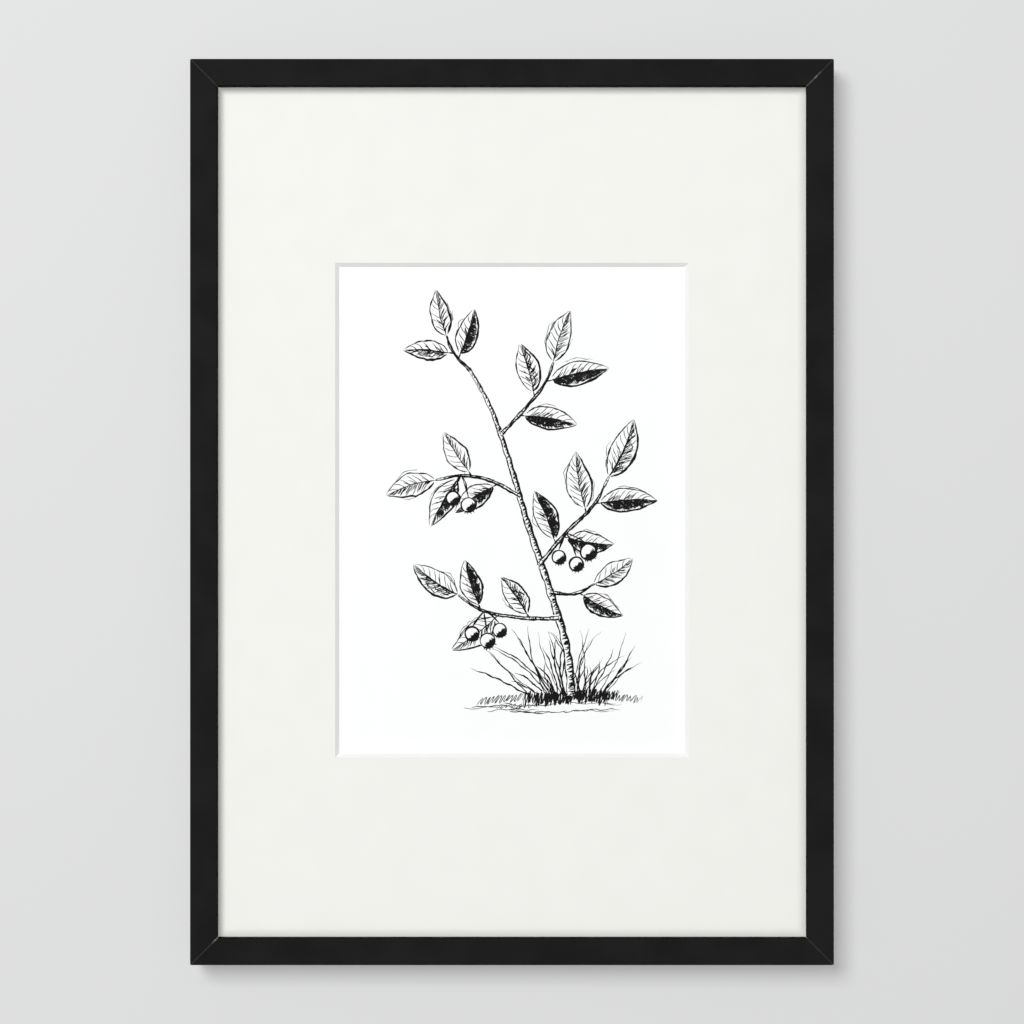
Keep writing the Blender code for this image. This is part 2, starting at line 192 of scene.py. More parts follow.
rail_paint, tree, shader, place = new_finish("satin black paint on wood")
axes = add_node(tree, "ShaderNodeSeparateXYZ", {"Vector": place}).outputs
above_middle = work_out(tree, "SUBTRACT", axes["Z"], FRAME_MIDDLE_Z)
from_side = work_out(tree, "SUBTRACT", FRAME_HALF_WIDTH, work_out(tree, "ABSOLUTE", axes["X"]))
from_end = work_out(tree, "SUBTRACT", FRAME_HALF_HEIGHT, work_out(tree, "ABSOLUTE", above_middle))
# How far in from the rail's outer edge, and how far from its nearest mitre
across = work_out(tree, "MINIMUM", from_side, from_end)
mitre_gap = work_out(tree, "ABSOLUTE", work_out(tree, "SUBTRACT", from_side, from_end))
from_mitre = work_out(tree, "MULTIPLY", mitre_gap, math.sqrt(0.5))
is_upright = work_out(tree, "LESS_THAN", from_side, from_end)
grain_axes = {
    "X": work_out(tree, "MULTIPLY", across, GRAIN_DRAWN_OUT),
    "Y": work_out(tree, "MULTIPLY", axes["Y"], GRAIN_DRAWN_OUT),
    "Z": blend_values(tree, is_upright, axes["X"], axes["Z"]),
}
grain_place = add_node(tree, "ShaderNodeCombineXYZ", grain_axes).outputs["Vector"]
grain = speckle(tree, grain_place, GRAIN_SCALE, 5.0, 0.62)
pores = speckle(tree, grain_place, PORE_SCALE, 3.0, 0.6)
ragged = speckle(tree, place, RAGGED_SCALE, 3.0)
mottle = speckle(tree, place, MOTTLE_SCALE, 3.0)
orange_peel = speckle(tree, place, ORANGE_PEEL_SCALE, 2.0)

wood = blend_colours(tree, soft_step(tree, grain, 0.32, 0.68), WOOD_DARK, WOOD_LIGHT)
wood = blend_colours(tree, spread(tree, pores, 0.0, 0.35), wood, WOOD_DARK)
paint = blend_colours(tree, soft_step(tree, mottle, 0.3, 0.7), PAINT_BLACK, PAINT_GREYER)
# Paint rubbed a little thin along the outer front edge. The lip's inner side is dull, and darker as
# painted shade
near_outer = soft_step(tree, across, *OUTER_RUB)
inner_side = soft_step(tree, across, *INNER_SIDE)
on_front = soft_step(tree, axes["Y"], *FRONT_FACE)
rubbed = product(tree, near_outer, on_front, soft_step(tree, ragged, 0.42, 0.75))
paint = blend_colours(tree, rubbed, paint, PAINT_RUBBED)
paint = blend_colours(tree, inner_side, paint, PAINT_INNER_SIDE_SHADE)
# The mitres show as fine grey lines. A pale painted highlight, broken in places, runs along part of the
# top right and bottom left mitres, which face the light.
mitre_reach = work_out(tree, "ADD", from_mitre, spread(tree, ragged, 0.0, MITRE_WANDER))
mitre_line = product(tree, soft_step(tree, mitre_reach, *MITRE_LINE), on_front)
paint = blend_colours(tree, mitre_line, paint, MITRE_GREY)
at_right = work_out(tree, "GREATER_THAN", axes["X"], 0.0)
at_left = work_out(tree, "LESS_THAN", axes["X"], 0.0)
at_top = work_out(tree, "GREATER_THAN", above_middle, 0.0)
at_bottom = work_out(tree, "LESS_THAN", above_middle, 0.0)
faint_glint_run = work_out(tree, "MULTIPLY", soft_step(tree, across, *GLINT_FAINT_START), GLINT_FAINT_SHARE)
bright_glint_run = product(tree, soft_step(tree, across, *GLINT_START), soft_step(tree, across, *GLINT_END))
glint_top = product(tree, at_right, at_top, work_out(tree, "MAXIMUM", faint_glint_run, bright_glint_run))
glint_bottom = product(tree, at_left, at_bottom, soft_step(tree, across, *LOW_GLINT_START))
glint_width = soft_step(tree, mitre_reach, *MITRE_GLINT_WIDTH)
glint_breaks = soft_step(tree, ragged, 0.22, 0.50)
glint_place = work_out(tree, "MAXIMUM", glint_top, glint_bottom)
painted_glint = product(tree, glint_place, on_front, glint_width, glint_breaks)
paint = blend_colours(tree, painted_glint, paint, MITRE_PAINTED_GLINT)
# Bare wood on the back, where spray reaches only the outer edge, and in the rabbet
spray_edge = work_out(tree, "ADD", across, spread(tree, ragged, -SPRAY_WANDER, SPRAY_WANDER))
on_back = soft_step(tree, axes["Y"], *BACK_FACE)
bare_back = product(tree, on_back, soft_step(tree, spray_edge, *SPRAY_END))
in_rabbet = product(
    tree,
    soft_step(tree, across, *RABBET_START),
    soft_step(tree, across, *RABBET_END),
    soft_step(tree, axes["Y"], *BEHIND_LIP),
)
bare = work_out(tree, "MAXIMUM", bare_back, in_rabbet)
tree.links.new(blend_colours(tree, bare, paint, wood), shader.inputs["Base Color"])
paint_sheen = spread(tree, mottle, 0.38, 0.46)
paint_sheen = work_out(tree, "ADD", paint_sheen, spread(tree, orange_peel, -0.03, 0.03))
paint_sheen = blend_values(tree, inner_side, paint_sheen, INNER_SIDE_ROUGHNESS)
sheen = blend_values(tree, bare, paint_sheen, spread(tree, pores, 0.66, 0.82))
tree.links.new(sheen, shader.inputs["Roughness"])
shader.inputs["Specular IOR Level"].default_value = PAINT_GLOSS
peel_height = work_out(tree, "MULTIPLY", orange_peel, 0.3)
grain_height = work_out(tree, "MULTIPLY", grain, 0.7)
set_relief(tree, shader, work_out(tree, "ADD", peel_height, grain_height), PAINT_RELIEF)
dress(["rail_top", "rail_bottom", "rail_left", "rail_right"], rail_paint)


# Filler in the four mitres. Coloured wax is rubbed into the hairline joint from the front and wiped off
# flush with the paint. It goes in as deep as the lip and part of the leg behind it.
FILLER_THICKNESS = 0.00026
FILLER_RECESS = 0.00008
FILLER_BACK_Y = -0.0112
FILLER_MARGIN = 0.0007
FILLER_GREY = (0.022, 0.022, 0.022, 1)
FILLER_PALE = (0.058, 0.056, 0.052, 1)
FILLER_LIP_BACK_Y = LIP_BACK_Y - 0.0002
FILLER_FRONT_CUTS = 6
FILLER_GLOSS = 0.3
FILLER_RELIEF = 0.00003
SMEAR_SCALE = 900.0

filler_wax, tree, shader, place = new_finish("grey filler wax")
smears = speckle(tree, place, SMEAR_SCALE, 4.0, 0.6)
smeared = blend_colours(tree, soft_step(tree, smears, 0.35, 0.7), FILLER_GREY, FILLER_PALE)
tree.links.new(smeared, shader.inputs["Base Color"])
tree.links.new(spread(tree, smears, 0.55, 0.75), shader.inputs["Roughness"])
shader.inputs["Specular IOR Level"].default_value = FILLER_GLOSS
set_relief(tree, shader, smears, FILLER_RELIEF)


def box_between(name, low, high):
    """A box from corner to corner, its place in its mesh."""
    middle = (low + high) / 2
    bpy.ops.mesh.primitive_cube_add(size=1, location=middle)
    made = bpy.context.object
    made.name = name
    made.scale = high - low
    bpy.ops.object.transform_apply(location=True, rotation=True, scale=True)
    return made


def select_faces(mesh_object, wanted):
    """In edit mode, selects just the faces whose middle and normal are wanted."""
    bpy.ops.object.mode_set(mode="EDIT")
    bpy.ops.mesh.select_mode(type="FACE")
    bpy.ops.mesh.select_all(action="DESELECT")
    bpy.ops.object.mode_set(mode="OBJECT")
    for face in mesh_object.data.polygons:
        face.select = wanted(face.center, face.normal)
    bpy.ops.object.mode_set(mode="EDIT")


def settle(piece, finish):
    """Ends a piece: its finish and its body."""
    bpy.ops.object.mode_set(mode="OBJECT")
    bpy.ops.object.select_all(action="DESELECT")
    piece.data.materials.clear()
    piece.data.materials.append(finish)
    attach(piece, "root")


def copy_of(piece):
    """A copy with its own mesh, selected alone."""
    bpy.ops.object.select_all(action="DESELECT")
    piece.select_set(True)
    bpy.context.view_layer.objects.active = piece
    bpy.ops.object.duplicate(linked=False)
    return bpy.context.object


# One strip, laid out along X from the outer corner inwards
lip_end = (FACE_WIDTH - FILLER_MARGIN) * math.sqrt(2)
leg_end = (LEG_WIDTH - FILLER_MARGIN) * math.sqrt(2)
strip = box_between(
    "mitre_filler",
    Vector((FILLER_MARGIN, FRONT_Y + FILLER_RECESS, -FILLER_THICKNESS / 2)),
    Vector((leg_end, FILLER_LIP_BACK_Y, FILLER_THICKNESS / 2)),
)
select_faces(strip, lambda middle, normal: normal.x > 0.9)
bpy.ops.mesh.extrude_region_move(TRANSFORM_OT_translate={"value": (lip_end - leg_end, 0, 0)})
select_faces(strip, lambda middle, normal: normal.y > 0.9 and middle.x < leg_end)
leg_part_depth = FILLER_BACK_Y - FILLER_LIP_BACK_Y
bpy.ops.mesh.extrude_region_move(TRANSFORM_OT_translate={"value": (0, leg_part_depth, 0)})
select_faces(strip, lambda middle, normal: normal.y < -0.9)
bpy.ops.mesh.subdivide(number_cuts=FILLER_FRONT_CUTS)
bpy.ops.object.mode_set(mode="OBJECT")

# Four copies, each turned onto its mitre
for side_name, side in (("left", -1), ("right", 1)):
    for end_name, end in (("top", 1), ("bottom", -1)):
        filler = copy_of(strip)
        filler.name = f"mitre_filler_{end_name}_{side_name}"
        filler.rotation_euler = (0, -math.atan2(-end, -side), 0)
        filler.location = (side * FRAME_HALF_WIDTH, 0, FRAME_MIDDLE_Z + end * FRAME_HALF_HEIGHT)
        bpy.ops.object.transform_apply(location=True, rotation=True, scale=True)
        settle(filler, filler_wax)
bpy.data.objects.remove(strip)


# V-nails, one in the back of each mitre: short strips of bright spring steel, rolled to a V and pressed
# into the glued joint. Steel tabs and rivets further on have the same finish.
STEEL_LIGHT = (0.66, 0.66, 0.67, 1)
STEEL_DARK = (0.42, 0.42, 0.43, 1)
STEEL_RELIEF = 0.00001
STEEL_BLOTCHES = 300.0
SCRATCH_STRETCH = (60.0, 2400.0, 2400.0)


def new_group(name, inputs, outputs):
    """A node group with named sockets. Returns it with its two ends."""
    group = bpy.data.node_groups.new(name, "ShaderNodeTree")
    for socket_name, kind, value in inputs:
        socket = group.interface.new_socket(name=socket_name, in_out="INPUT", socket_type=kind)
        if value is not None:
            socket.default_value = value
    for socket_name, kind in outputs:
        group.interface.new_socket(name=socket_name, in_out="OUTPUT", socket_type=kind)
    return group, group.nodes.new("NodeGroupInput").outputs, group.nodes.new("NodeGroupOutput").inputs


metal_wear, given, result = new_group(
    "drawn and handled metal",
    (
        ("Place", "NodeSocketVector", None),
        ("Light", "NodeSocketColor", STEEL_LIGHT),
        ("Dark", "NodeSocketColor", STEEL_DARK),
        ("Blotches", "NodeSocketFloat", STEEL_BLOTCHES),
    ),
    (("Colour", "NodeSocketColor"), ("Roughness", "NodeSocketFloat"), ("Height", "NodeSocketFloat")),
)
lengthwise = add_node(
    metal_wear, "ShaderNodeMapping", {"Vector": given["Place"], "Scale": SCRATCH_STRETCH}
).outputs["Vector"]
scratches = speckle(metal_wear, lengthwise, 1.0, 3.0, 0.6)
blotches = speckle(metal_wear, given["Place"], given["Blotches"], 3.0)
dulled = blend_values(metal_wear, 0.5, scratches, blotches)
brightness = soft_step(metal_wear, dulled, 0.3, 0.7)
metal_colour = blend_colours(metal_wear, brightness, given["Dark"], given["Light"])
metal_wear.links.new(metal_colour, result["Colour"])
metal_wear.links.new(spread(metal_wear, dulled, 0.42, 0.24), result["Roughness"])
metal_wear.links.new(scratches, result["Height"])

bright_steel, tree, shader, place = new_finish("bright steel")
worn = add_node(tree, "ShaderNodeGroup", node_tree=metal_wear)
tree.links.new(place, worn.inputs["Place"])
tree.links.new(worn.outputs["Colour"], shader.inputs["Base Color"])
tree.links.new(worn.outputs["Roughness"], shader.inputs["Roughness"])
shader.inputs["Metallic"].default_value = 1.0
set_relief(tree, shader, worn.outputs["Height"], STEEL_RELIEF)
v_nail_names = [f"v_nail_{end}_{side}" for end in ("top", "bottom") for side in ("left", "right")]
dress(v_nail_names, bright_steel)


# The glazing: a sheet of clear 2 mm float glass, cut to the rabbet and held under the lip. Its faint
# green shows only in the thickness. Light from the lamps and from what lies behind it passes freely.
GLASS_TINT_A = (0.975, 0.992, 0.985, 1)
GLASS_TINT_B = (0.985, 0.996, 0.991, 1)
GLASS_WAVES = 9.0
GLASS_REFRACTION = 1.5
GLASS_GLOSS = 0.3

clear_glass, tree, shader, place = new_finish("clear float glass")
waviness = speckle(tree, place, GLASS_WAVES, 0.0)
tree.links.new(blend_colours(tree, waviness, GLASS_TINT_A, GLASS_TINT_B), shader.inputs["Base Color"])
shader.inputs["Roughness"].default_value = 0.0
shader.inputs["IOR"].default_value = GLASS_REFRACTION
shader.inputs["Specular IOR Level"].default_value = GLASS_GLOSS
shader.inputs["Transmission Weight"].default_value = 1.0
unseen = add_node(tree, "ShaderNodeBsdfTransparent").outputs["BSDF"]
ray_kinds = add_node(tree, "ShaderNodeLightPath").outputs
glass = shader.outputs["BSDF"]
for ray_kind in ("Is Diffuse Ray", "Is Shadow Ray"):
    inputs = {0: ray_kinds[ray_kind], 1: glass, 2: unseen}
    glass = add_node(tree, "ShaderNodeMixShader", inputs).outputs["Shader"]
tree.links.new(glass, tree.nodes["Material Output"].inputs["Surface"])
dress(["glazing"], clear_glass)


# The window mat: thick off-white card with a fine tooth. The window is cut at 45 degrees, and the slope
# shows the card's whiter core. It rests on the print and keeps it off the glass.
WINDOW_HALF_WIDTH = 0.1015
WINDOW_HALF_HEIGHT = 0.142
WINDOW_MIDDLE_Z = FRAME_MIDDLE_Z + 0.001
MAT_LIGHT = (0.892, 0.887, 0.850, 1)
MAT_DARK = (0.866, 0.861, 0.824, 1)
# Grey of the painted shade along the lip
MAT_LIP_SHADE = (0.659, 0.656, 0.632, 1)
CORE_LIGHT = (0.93, 0.93, 0.915, 1)
CORE_DARK = (0.88, 0.88, 0.862, 1)
CORE_SCALE = 2600.0
MAT_FIBRES = 1400.0
MAT_RELIEF = 0.00003
PAPER_CLOUDS = 55.0
PAPER_GLOSS = 0.2
CUT_SOFTNESS = 0.0001
# Where the painted shade along the lip starts and where it is full, in metres in from the lip, and how
# patchy it is
LIP_SHADE_REACH = (0.0054, -0.0003)
LIP_SHADE_SCALE = 120.0
LIP_SHADE_SHARE = (0.88, 1.08)

paper_tooth, given, result = new_group(
    "paper tooth",
    (
        ("Place", "NodeSocketVector", None),
        ("Light", "NodeSocketColor", MAT_LIGHT),
        ("Dark", "NodeSocketColor", MAT_DARK),
        ("Fibres", "NodeSocketFloat", MAT_FIBRES),
    ),
    (("Colour", "NodeSocketColor"), ("Roughness", "NodeSocketFloat"), ("Height", "NodeSocketFloat")),
)
fibre_inputs = {
    "Vector": given["Place"],
    "Scale": given["Fibres"],
    "Detail": 4.0,
    "Roughness": 0.65,
    "Distortion": 0.8,
}
fibres = add_node(paper_tooth, "ShaderNodeTexNoise", fibre_inputs).outputs["Fac"]
clouds = speckle(paper_tooth, given["Place"], PAPER_CLOUDS, 2.0)
tone = blend_values(paper_tooth, 0.4, fibres, clouds)
lightness = soft_step(paper_tooth, tone, 0.3, 0.7)
tooth_colour = blend_colours(paper_tooth, lightness, given["Dark"], given["Light"])
paper_tooth.links.new(tooth_colour, result["Colour"])
paper_tooth.links.new(spread(paper_tooth, fibres, 0.78, 0.92), result["Roughness"])
paper_tooth.links.new(fibres, result["Height"])


def paper_finish(name, light, dark, fibres_per_metre, depth):
    """A card or paper with its tooth. Returns the parts that a further mark needs."""
    finish, tree, shader, place = new_finish(name)
    tooth = add_node(tree, "ShaderNodeGroup", node_tree=paper_tooth)
    tree.links.new(place, tooth.inputs["Place"])
    tooth.inputs["Light"].default_value = light
    tooth.inputs["Dark"].default_value = dark
    tooth.inputs["Fibres"].default_value = fibres_per_metre
    tree.links.new(tooth.outputs["Colour"], shader.inputs["Base Color"])
    tree.links.new(tooth.outputs["Roughness"], shader.inputs["Roughness"])
    shader.inputs["Specular IOR Level"].default_value = PAPER_GLOSS
    set_relief(tree, shader, tooth.outputs["Height"], depth)
    return finish, tree, shader, place, tooth


mat_card, tree, shader, place, tooth = paper_finish(
    "off-white mat card", MAT_LIGHT, MAT_DARK, MAT_FIBRES, MAT_RELIEF
)
axes = add_node(tree, "ShaderNodeSeparateXYZ", {"Vector": place}).outputs
above_window_middle = work_out(tree, "SUBTRACT", axes["Z"], WINDOW_MIDDLE_Z)
from_middle_x = work_out(tree, "ABSOLUTE", axes["X"])
from_middle_z = work_out(tree, "ABSOLUTE", above_window_middle)
in_width = soft_step(tree, from_middle_x, WINDOW_HALF_WIDTH, WINDOW_HALF_WIDTH - CUT_SOFTNESS)
in_height = soft_step(tree, from_middle_z, WINDOW_HALF_HEIGHT, WINDOW_HALF_HEIGHT - CUT_SOFTNESS)
core = blend_colours(tree, speckle(tree, place, CORE_SCALE, 2.0), CORE_DARK, CORE_LIGHT)
# Painted shade: the card is greyed, in patches, along the lip that shades it
above_frame_middle = work_out(tree, "SUBTRACT", axes["Z"], FRAME_MIDDLE_Z)
from_frame_middle = work_out(tree, "ABSOLUTE", above_frame_middle)
from_lip_side = work_out(tree, "SUBTRACT", FRAME_HALF_WIDTH - FACE_WIDTH, from_middle_x)
from_lip_end = work_out(tree, "SUBTRACT", FRAME_HALF_HEIGHT - FACE_WIDTH, from_frame_middle)
from_lip = work_out(tree, "MINIMUM", from_lip_side, from_lip_end)
lip_shade_patches = spread(tree, speckle(tree, place, LIP_SHADE_SCALE, 3.0), *LIP_SHADE_SHARE)
lip_shade = product(tree, soft_step(tree, from_lip, *LIP_SHADE_REACH), lip_shade_patches)
mat_colour = blend_colours(tree, lip_shade, tooth.outputs["Colour"], MAT_LIP_SHADE)
mat_colour = blend_colours(tree, product(tree, in_width, in_height), mat_colour, core)
tree.links.new(mat_colour, shader.inputs["Base Color"])
dress(["window_mat"], mat_card)


# The print: a sheet of heavy bright white A4 paper with a matt surface. Only the part in the mat's
# window is seen. Two paper hinges at its top edge hold it, so that it can swell and shrink.
PAPER_LIGHT = (0.980, 0.978, 0.978, 1)
PAPER_DARK = (0.966, 0.964, 0.964, 1)
PAPER_FIBRES = 2200.0
PAPER_RELIEF = 0.000012

print_paper = paper_finish(
    "bright white print paper", PAPER_LIGHT, PAPER_DARK, PAPER_FIBRES, PAPER_RELIEF
)[0]
dress(["print_sheet"], print_paper)


# The drawing on the print: a berried branch over a tuft of grass, in black drawing ink. Each line is a
# stroke of one flexible pen that swells and lifts. Shaded halves are hatched and crossed until black.
INK_HALF_THICKNESS = 0.00001
INK_ABOVE_PAPER = 0.000016
INK_FLOW_SCALE = 650.0
INK_RELIEF = 0.000005
INK_GLOSS = 0.05
# The pen, in millimetres. Its lines swell and thin in waves and shake by the wobble.
PEN_BREADTH = 1.5
THINNEST_HALF = 0.07
PRESS_MEAN = 0.86
PRESS_SWELL = 0.2
PRESS_WAVE = 6.5
SHORT_SHAKE = 0.35
TURN = 2 * math.pi
INK_BLACK = (0.0028, 0.0028, 0.0030, 1)
INK_THIN = (0.0090, 0.0090, 0.0098, 1)

pen = random.Random(57)
covers = []
leaf_lines, berry_lines, stem_lines, grass_lines = [], [], [], []


def smooth_path(points, spacing):
    """A smooth curve through the points, as points at an even spacing."""

    def between(a, b, c, d, t):
        """At t of the way from b to c, on the curve that also runs through a and d."""
        square = (2 * a - 5 * b + 4 * c - d) * t ** 2
        cube = (3 * b - a - 3 * c + d) * t ** 3
        return 0.5 * (2 * b + (c - a) * t + square + cube)

    knots = [points[0], *points, points[-1]]
    path = []
    for run in zip(knots, knots[1:], knots[2:], knots[3:]):
        pieces = max(1, round(math.dist(run[1], run[2]) / spacing))
        for piece in range(pieces):
            path.append(tuple(between(*values, piece / pieces) for values in zip(*run)))
    path.append(tuple(points[-1]))
    return path


def is_covered(u, v):
    """Whether something drawn nearer the viewer lies over this spot."""
    for low_u, low_v, high_u, high_v, outline in covers:
        if not (low_u < u < high_u and low_v < v < high_v):
            continue
        inside = False
        previous_u, previous_v = outline[-1]
        for corner_u, corner_v in outline:
            if (corner_v > v) != (previous_v > v):
                if u < (previous_u - corner_u) * (v - corner_v) / (previous_v - corner_v) + corner_u:
                    inside = not inside
            previous_u, previous_v = corner_u, corner_v
        if inside:
            return True
    return False


def cover(outline):
    """Hides what is drawn later inside this outline."""
    us = [point[0] for point in outline]
    vs = [point[1] for point in outline]
    covers.append((min(us), min(vs), max(us), max(vs), outline))


def pen_stroke(lines, points, width, wobble=0.22, spacing=1.1, start=0.55, end=0.25):
    """One stroke in millimetres from the window's middle, hidden where something nearer covers it."""
    path = smooth_path(points, spacing)
    count = len(path)
    long_wave, short_wave = pen.uniform(9, 17), pen.uniform(2.6, 4.5)
    long_phase, short_phase, press_phase = [pen.uniform(0, TURN) for phase in range(3)]
    drawn = []
    for index, (u, v) in enumerate(path):
        share = index / max(1, count - 1)
        (au, av), (bu, bv) = path[max(0, index - 1)], path[min(count - 1, index + 1)]
        reach = math.hypot(bu - au, bv - av) or 1
        run = index * spacing
        long_shake = math.sin(run / long_wave * TURN + long_phase)
        short_shake = SHORT_SHAKE * math.sin(run / short_wave * TURN + short_phase)
        shift = (long_shake + short_shake) * wobble
        u -= (bv - av) / reach * shift
        v += (bu - au) / reach * shift
        press = min(1, start + share * 6, end + (1 - share) * 3.2)
        press *= PRESS_MEAN + PRESS_SWELL * math.sin(run / PRESS_WAVE * TURN + press_phase)
        if is_covered(u, v):
            if len(drawn) > 1:
                lines.append(drawn)
            drawn = []
            continue
        drawn.append((u, v, max(THINNEST_HALF, PEN_BREADTH * width / 2 * press)))
    if len(drawn) > 1:
        lines.append(drawn)


def ease_turns(line):
    """Narrows a line at its sharp turns, where a flat tube would run out into a spike."""
    eased = [line[0]]
    for (au, av, _), (bu, bv, half_width), (cu, cv, _) in zip(line, line[1:], line[2:]):
        opening = Vector((au - bu, av - bv)).angle(Vector((cu - bu, cv - bv)), math.pi)
        eased.append((bu, bv, half_width * math.sin(opening / 2)))
    eased.append(line[-1])
    return eased


def draw_leaf(base, heading, length, width, bend, tone):
    """A leaf from its stalk's end. Tone 0 is an open outline and 1 has its shaded half blackened."""
    rows = 30
    edge_steps = 9
    u, v = base
    midrib, ways = [], []
    for row in range(rows + 1):
        way = math.radians(heading) + math.radians(bend) * (row / rows - 0.4)
        midrib.append((u, v))
        ways.append(way)
        u += math.cos(way) * length / rows
        v += math.sin(way) * length / rows
    phase = pen.uniform(0, TURN)
    lobe = pen.uniform(3.4, 4.6)

    def at(t, q):
        """The spot at t along the leaf and q of the half width across it."""
        row = min(rows - 1, max(0, int(t * rows)))
        part = min(1, max(0, t * rows - row))
        (au, av), (bu, bv) = midrib[row], midrib[row + 1]
        way = ways[row] * (1 - part) + ways[row + 1] * part
        body = math.sin(math.pi * t ** 0.8) ** 0.9 if 0 < t < 1 else 0
        off = q * width / 2 * body * (1 + 0.055 * math.sin(t * length / lobe * TURN + phase))
        return au + (bu - au) * part - math.sin(way) * off, av + (bv - av) * part + math.cos(way) * off

    def line(spots, thickness, wobble, spacing=1.1):
        """A pen line through spots given as at() takes them."""
        pen_stroke(leaf_lines, [at(t, q) for t, q in spots], thickness, wobble, spacing)

    # The half turned away from light at the upper left is shaded
    middle_way = math.radians(heading + bend * 0.1)
    light_u, light_v = 0.62, 0.78
    shaded = 1 if -math.sin(middle_way) * light_u - math.cos(middle_way) * light_v > 0 else -1
    for side in (shaded, -shaded):
        heavy = side == shaded
        for repeat in range(3 if heavy and tone > 0.5 else 2):
            first, last = pen.uniform(0.0, 0.05), pen.uniform(0.94, 1.0)
            thickness = pen.uniform(0.46, 0.74) if heavy else pen.uniform(0.3, 0.44)
            edge_spots = [
                (first + (last - first) * step / edge_steps, side * pen.uniform(0.98, 1.03))
                for step in range(edge_steps + 1)
            ]
            line(edge_spots, thickness, 0.2)
    line([(t, pen.uniform(-0.03, 0.03)) for t in (0, 0.2, 0.4, 0.6, 0.8, 0.96)], 0.48, 0.12)
    if tone > 0.35:
        line([(t, shaded * 0.05) for t in (0, 0.25, 0.5, 0.75)], 0.58, 0.12)
    veins = max(3, round(length / 5))
    for vein in range(veins):
        t = 0.1 + 0.74 * (vein + pen.uniform(-0.15, 0.15)) / veins
        for side in (-1, 1):
            tip = 0.85 + pen.uniform(0, 0.12)
            vein_spots = [(t + 0.17 * part, side * 0.93 * part ** 0.85) for part in (0, 0.3, 0.6, tip)]
            line(vein_spots, pen.uniform(0.26, 0.36), 0.08)
    # Hatching from the midrib out over the shaded half
    count = int(length / (1.5 - 0.75 * tone))
    for index in range(count):
        t = 0.04 + 0.84 * (index + pen.uniform(-0.3, 0.3)) / count
        reach = pen.uniform(0.45, 0.98) * (0.62 + 0.38 * tone)
        lean = pen.uniform(0.1, 0.16)
        spots = [(t + lean * part, shaded * (0.03 + reach * part)) for part in (0, 0.35, 0.7, 1)]
        line(spots, pen.uniform(0.25, 0.34) + 0.14 * tone * pen.random(), 0.1)
    if tone > 0.45:
        for index in range(int(count * (tone - 0.15))):
            t = pen.uniform(0.02, 0.72) if pen.random() < 0.75 else pen.uniform(0.1, 0.92)
            q = pen.uniform(0.05, 0.8)
            run = pen.uniform(0.05, 0.16)
            spots = [(t + run * part, shaded * (q + (0.1 - 0.3 * part) * part)) for part in (0, 0.5, 1)]
            line(spots, pen.uniform(0.32, 0.58), 0.12)
    if tone > 0.7:
        # One unbroken line looped to and fro blackens the shaded half
        steps = int(length * 1.15) * 7
        spots = []
        for step in range(steps):
            along = step / steps
            spin = step / 7 * TURN
            q = 0.4 + 0.36 * math.sin(spin) + 0.06 * math.sin(along * 31)
            spots.append((0.04 + 0.8 * along + 0.022 * math.cos(spin), shaded * q))
        for first in range(0, steps - 20, 60):
            if pen.random() < 0.85:
                line(spots[first:first + pen.randint(42, 62)], pen.uniform(0.38, 0.6), 0.16, 0.8)
    if tone > 0.25:
        for index in range(int(length * 0.32 * tone)):
            t = pen.uniform(0.05, 0.5)
            spots = [(t + 0.12 * part, -shaded * (0.04 + 0.42 * part)) for part in (0, 0.5, 1)]
            line(spots, pen.uniform(0.24, 0.34), 0.1)
    # Loose searching lines that miss the outline
    for index in range(pen.randint(0, 2)):
        first = pen.uniform(0.0, 0.45)
        side = pen.choice((-shaded, -shaded, shaded))
        line([(first + 0.11 * step, side * pen.uniform(1.06, 1.32)) for step in range(5)], 0.24, 0.35)
    edge = [step / 22 for step in range(23)]
    cover([at(t, 1) for t in edge] + [at(t, -1) for t in reversed(edge)])


def draw_berry(centre, radius, tone):
    """A round berry shaded at its lower right, with withered sepals at its end."""
    u, v = centre

    def around(distance, way):
        """The spot at a distance from the berry's middle."""
        return u + distance * math.cos(way), v + distance * math.sin(way)

    for repeat in range(3):
        turn, off = pen.uniform(0, TURN), radius * pen.uniform(0.94, 1.07)
        ring = [around(off, turn + step * TURN / 12) for step in range(14)]
        pen_stroke(berry_lines, ring, pen.uniform(0.32, 0.56), 0.09, 0.8)
    lines = int(radius * (4 + 5 * tone))
    for index in range(lines):
        depth = 0.28 + 0.68 * index / lines
        opening = math.radians(pen.uniform(36, 58 + 30 * tone))
        facing = math.radians(-48 + pen.uniform(-12, 12))
        arc = [around(radius * depth, facing + opening * part) for part in (-1, -0.5, 0, 0.5, 1)]
        pen_stroke(berry_lines, arc, pen.uniform(0.34, 0.58), 0.1, 0.8)
    for sepal_number in range(5):
        way = math.radians(-119 + sepal_number * 22 + pen.uniform(-6, 6))
        sepal = [around(radius * 0.9, way), around(radius * 1.32, way + 0.1)]
        pen_stroke(berry_lines, sepal, 0.42, 0.02, 0.6)
    cover([around(radius * 0.97, step * TURN / 18) for step in range(18)])


def draw_berries(root, spots, radius, tone):
    """A bunch of berries, each on its stalk from the root."""
    for du, dv in spots:
        draw_berry((root[0] + du, root[1] + dv), radius * pen.uniform(0.88, 1.1), tone)
    for du, dv in spots:
        for repeat in range(2):
            bow = (root[0] + du * 0.45 + pen.uniform(-0.8, 0.8), root[1] + dv * 0.35 + 1.2)
            tip = (root[0] + du, root[1] + dv + radius * 0.9)
            pen_stroke(berry_lines, [root, bow, tip], pen.uniform(0.4, 0.6), 0.08, 0.8)


